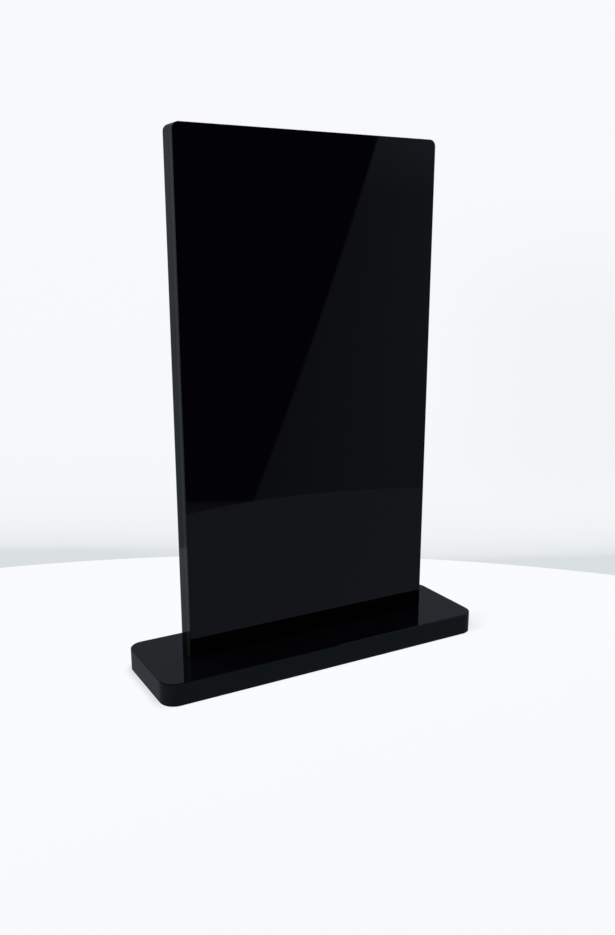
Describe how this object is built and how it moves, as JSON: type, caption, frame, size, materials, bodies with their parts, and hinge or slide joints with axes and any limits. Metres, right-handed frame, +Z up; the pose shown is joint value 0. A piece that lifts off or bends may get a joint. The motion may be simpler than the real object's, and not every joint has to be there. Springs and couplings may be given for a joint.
{
  "type": "touchscreen kiosk",
  "caption": "Tabletop kiosk: an upright portrait touch display slab on a weighted base plate, with keys, vents and speakers on its back and sockets behind the base.",
  "frame": {"origin": "bottom centre: on the plane the feet stand on, midway between the base's ends and between its front and back", "axes": "+Z up, the screen faces -Y, +X along the slab's width, to the right as seen from the front"},
  "size_m": [0.2852, 0.0846, 0.4038],
  "materials": {
    "glass_black": "polished, black backed",
    "gloss_black": "high gloss",
    "frame_black": "high gloss, a little paler than the rear casing",
    "matte_black": "fine grained",
    "steel": "zinc plated",
    "black_steel": "black oxide",
    "aluminium": "satin",
    "board_green": "solder mask",
    "board_blue": "solder mask",
    "chip_black": "moulded",
    "connector_cream": "moulded",
    "foam": "closed-cell foam",
    "rubber": "matt",
    "cell_dark": "polarised, unlit",
    "film_white": "diffusing",
    "clear_acrylic": "polished",
    "film_amber": "polyimide",
    "touch_clear": "clear film",
    "lead_black": "jacketed",
    "lead_grey": "jacketed",
    "mesh_black": "woven",
    "brass": "plated",
    "chrome": "nickel plated",
    "mark_grey": "paint in the engraved key signs",
    "contact_gold": "gold plated"
  },
  "bodies": {
    "kiosk": {"cover_glass": "glass_black", "touch_sensor": "touch_clear", "touch_flex": "film_amber", "glass_bonding_tape": "foam", "front_frame": "frame_black", "display_gasket": "foam", "lcd_cell": "cell_dark", "optical_films": "film_white", "light_guide": "clear_acrylic", "backlight_strip": "film_white", "backlight_reflector": "film_white", "lcd_tray": "steel", "display_flexes": "film_amber", "display_driver_board": "board_blue", "display_ribbon": "lead_grey", "chassis_plate": "aluminium", "small_screws": "black_steel", "main_board": "board_green", "processor": "chip_black", "heat_spreader": "aluminium", "memory_chips": "chip_black", "board_connectors": "connector_cream", "radio_module": "chrome", "antennas": "film_amber", "antenna_cables": "lead_grey", "touch_board": "board_blue", "touch_cable": "lead_grey", "speaker_left": "matte_black", "speaker_right": "matte_black", "speaker_cones": "rubber", "speaker_gaskets": "foam", "speaker_cables": "lead_black", "key_board": "board_green", "key_switches": "chip_black", "key_cable": "lead_grey", "rear_cover": "gloss_black", "rear_cover_screws": "black_steel", "vent_grille": "matte_black", "speaker_grille_left": "matte_black", "speaker_grille_right": "matte_black", "dust_meshes": "mesh_black", "spine_bracket": "steel", "spine_screws": "black_steel", "flange_bolts": "black_steel", "main_loom": "lead_black", "upright_seal": "rubber", "base_cover": "gloss_black", "security_plate": "steel", "ballast_plate": "steel", "bottom_plate": "black_steel", "base_screws": "black_steel", "rubber_feet": "rubber", "io_board": "board_green", "dc_socket": "brass", "dc_socket_nut": "chrome", "usb_a_socket": "chrome", "usb_c_socket": "chrome"},
    "power_key": {"power_key": "matte_black"},
    "volume_down_key": {"volume_down_key": "matte_black"},
    "volume_up_key": {"volume_up_key": "matte_black"}
  },
  "joints": [
    {"name": "power_key_press", "type": "slide", "parent": "kiosk", "child": "power_key", "axis": [0, -1, 0], "range_m": [0, 0.0005], "stiffness_N_per_m": 1500, "springref_m": -0.0006},
    {"name": "volume_down_key_press", "type": "slide", "parent": "kiosk", "child": "volume_down_key", "axis": [0, -1, 0], "range_m": [0, 0.0005], "stiffness_N_per_m": 1500, "springref_m": -0.0006},
    {"name": "volume_up_key_press", "type": "slide", "parent": "kiosk", "child": "volume_up_key", "axis": [0, -1, 0], "range_m": [0, 0.0005], "stiffness_N_per_m": 1500, "springref_m": -0.0006}
  ]
}
